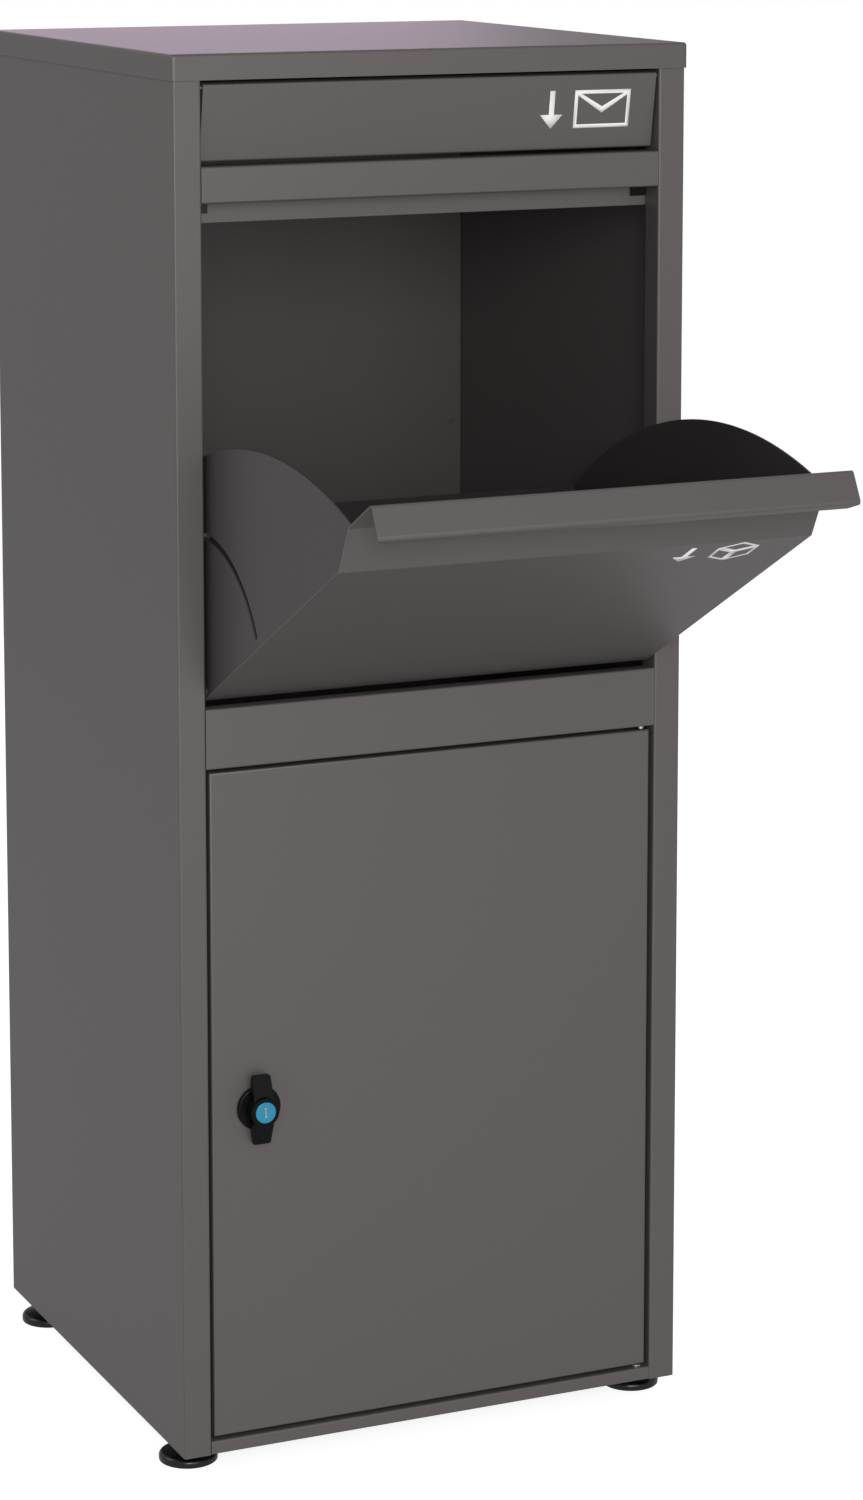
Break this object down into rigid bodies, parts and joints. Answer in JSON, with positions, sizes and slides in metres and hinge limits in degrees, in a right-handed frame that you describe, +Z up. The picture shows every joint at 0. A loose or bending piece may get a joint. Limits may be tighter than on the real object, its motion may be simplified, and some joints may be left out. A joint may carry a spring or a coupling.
{
  "type": "parcel drop box",
  "caption": "Free-standing sheet-steel parcel drop box with a letter flap, a tipping hopper drawer and a knob-locked collection door, on levelling feet.",
  "frame": {"origin": "on the floor under the middle of the whole box with the parcel drawer open: the cabinet's centre line in X, 46 mm behind its front plane", "axes": "+Z up, -Y out of the cabinet's front, +X to the right seen from the front"},
  "size_m": [0.4084, 0.6947, 1.034],
  "materials": {
    "anthracite_powder_coat": "fine satin powder coat",
    "zinc_plated_steel": "bright zinc plate",
    "black_oxide_steel": "black oxide",
    "painted_fasteners": "satin paint over steel",
    "nylon": "moulded nylon",
    "black_plastic": "moulded, semi gloss",
    "blue_plastic": "moulded, glossy",
    "black_foot_plastic": "moulded, semi matt",
    "white_print": "screen-printed ink"
  },
  "bodies": {
    "cabinet": {"left_side_panel": "anthracite_powder_coat", "right_side_panel": "anthracite_powder_coat", "back_panel": "anthracite_powder_coat", "base_panel": "anthracite_powder_coat", "top_cap": "anthracite_powder_coat", "upper_rail": "anthracite_powder_coat", "middle_rail": "anthracite_powder_coat", "bottom_rail": "anthracite_powder_coat", "letter_tray": "anthracite_powder_coat", "drawer_pivot_pins": "zinc_plated_steel", "drawer_stop_studs": "painted_fasteners", "door_hinge_pin_bottom": "zinc_plated_steel", "door_hinge_pin_top": "zinc_plated_steel", "door_pin_clip": "zinc_plated_steel", "door_stops": "anthracite_powder_coat", "foot_inserts": "zinc_plated_steel", "foot_lock_nuts": "black_oxide_steel", "cap_screws": "painted_fasteners", "back_rivets": "painted_fasteners"},
    "drawer": {"drawer_front": "anthracite_powder_coat", "drawer_cheek_left": "anthracite_powder_coat", "drawer_cheek_right": "anthracite_powder_coat", "drawer_back_plate": "anthracite_powder_coat", "drawer_bushes": "nylon", "drawer_rivets": "painted_fasteners"},
    "flap": {"flap_plate": "anthracite_powder_coat", "flap_pivot_pins": "zinc_plated_steel"},
    "door": {"door_panel": "anthracite_powder_coat", "door_stiffener": "anthracite_powder_coat", "door_bushes": "nylon", "lock_body": "black_plastic", "lock_nut": "zinc_plated_steel"},
    "knob": {"wing_knob": "black_plastic", "lock_cam": "zinc_plated_steel", "cam_screw": "zinc_plated_steel"},
    "plug": {"key_plug": "blue_plastic"},
    "foot_front_left": {"foot_pad_front_left": "black_foot_plastic", "foot_stud_front_left": "black_oxide_steel"},
    "foot_front_right": {"foot_pad_front_right": "black_foot_plastic", "foot_stud_front_right": "black_oxide_steel"},
    "foot_back_left": {"foot_pad_back_left": "black_foot_plastic", "foot_stud_back_left": "black_oxide_steel"},
    "foot_back_right": {"foot_pad_back_right": "black_foot_plastic", "foot_stud_back_right": "black_oxide_steel"}
  },
  "joints": [
    {"name": "drawer_tip", "type": "hinge", "parent": "cabinet", "child": "drawer", "pos_m": [0, -0.041, 0.5825], "axis": [-1, 0, 0], "range_deg": [0, 61.5]},
    {"name": "flap_swing", "type": "hinge", "parent": "cabinet", "child": "flap", "pos_m": [0, -0.0398, 1.01], "axis": [1, 0, 0], "range_deg": [-9.4, 65]},
    {"name": "door_swing", "type": "hinge", "parent": "cabinet", "child": "door", "pos_m": [0.171, -0.039, 0.0285], "axis": [0, 0, 1], "range_deg": [0, 105]},
    {"name": "knob_turn", "type": "hinge", "parent": "door", "child": "knob", "pos_m": [-0.1404, -0.044, 0.273], "axis": [0, -1, 0], "range_deg": [0, 90]},
    {"name": "key_turn", "type": "hinge", "parent": "knob", "child": "plug", "pos_m": [-0.1404, -0.054, 0.273], "axis": [0, -1, 0], "range_deg": [0, 90]},
    {"name": "foot_turn_front_left", "type": "hinge", "parent": "cabinet", "child": "foot_front_left", "pos_m": [-0.1825, -0.007, 0], "axis": [0, 0, 1], "range_deg": [0, 360]},
    {"name": "foot_turn_front_right", "type": "hinge", "parent": "cabinet", "child": "foot_front_right", "pos_m": [0.1825, -0.007, 0], "axis": [0, 0, 1], "range_deg": [0, 360]},
    {"name": "foot_turn_back_left", "type": "hinge", "parent": "cabinet", "child": "foot_back_left", "pos_m": [-0.1825, 0.305, 0], "axis": [0, 0, 1], "range_deg": [0, 360]},
    {"name": "foot_turn_back_right", "type": "hinge", "parent": "cabinet", "child": "foot_back_right", "pos_m": [0.1825, 0.305, 0], "axis": [0, 0, 1], "range_deg": [0, 360]}
  ]
}
